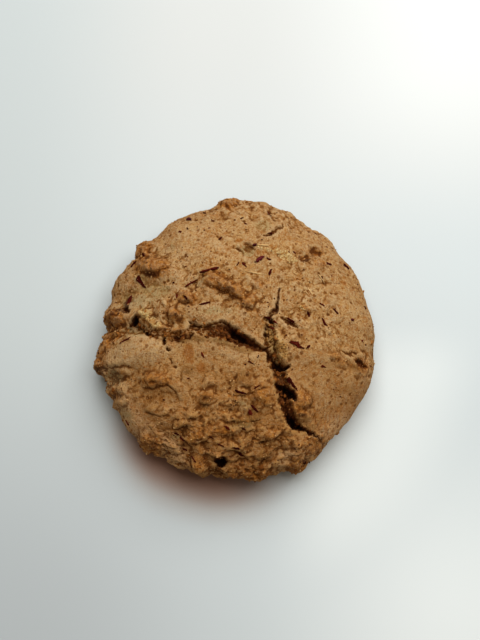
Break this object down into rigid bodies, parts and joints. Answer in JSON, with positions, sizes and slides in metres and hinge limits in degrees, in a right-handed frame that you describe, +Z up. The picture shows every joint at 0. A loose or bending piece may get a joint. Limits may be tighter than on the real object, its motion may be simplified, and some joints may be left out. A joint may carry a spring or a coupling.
{
  "type": "drop cookie",
  "caption": "Thick round drop cookie with a craggy pale brown crust, two deep cracks, and dark shards and pale flakes baked into it, flat underneath.",
  "frame": {"origin": "on the surface it rests on, under the middle of its box", "axes": "+Z up through the dome, +X towards the side with the long down crack, +Y towards the smoother far side"},
  "size_m": [0.09, 0.0922, 0.0296],
  "materials": {
    "crust": "dull baked crust, pale brown with browned peaks, dark shards and paler crumb in its cracks"
  },
  "bodies": {
    "root": {"cookie": "crust"}
  },
  "joints": []
}
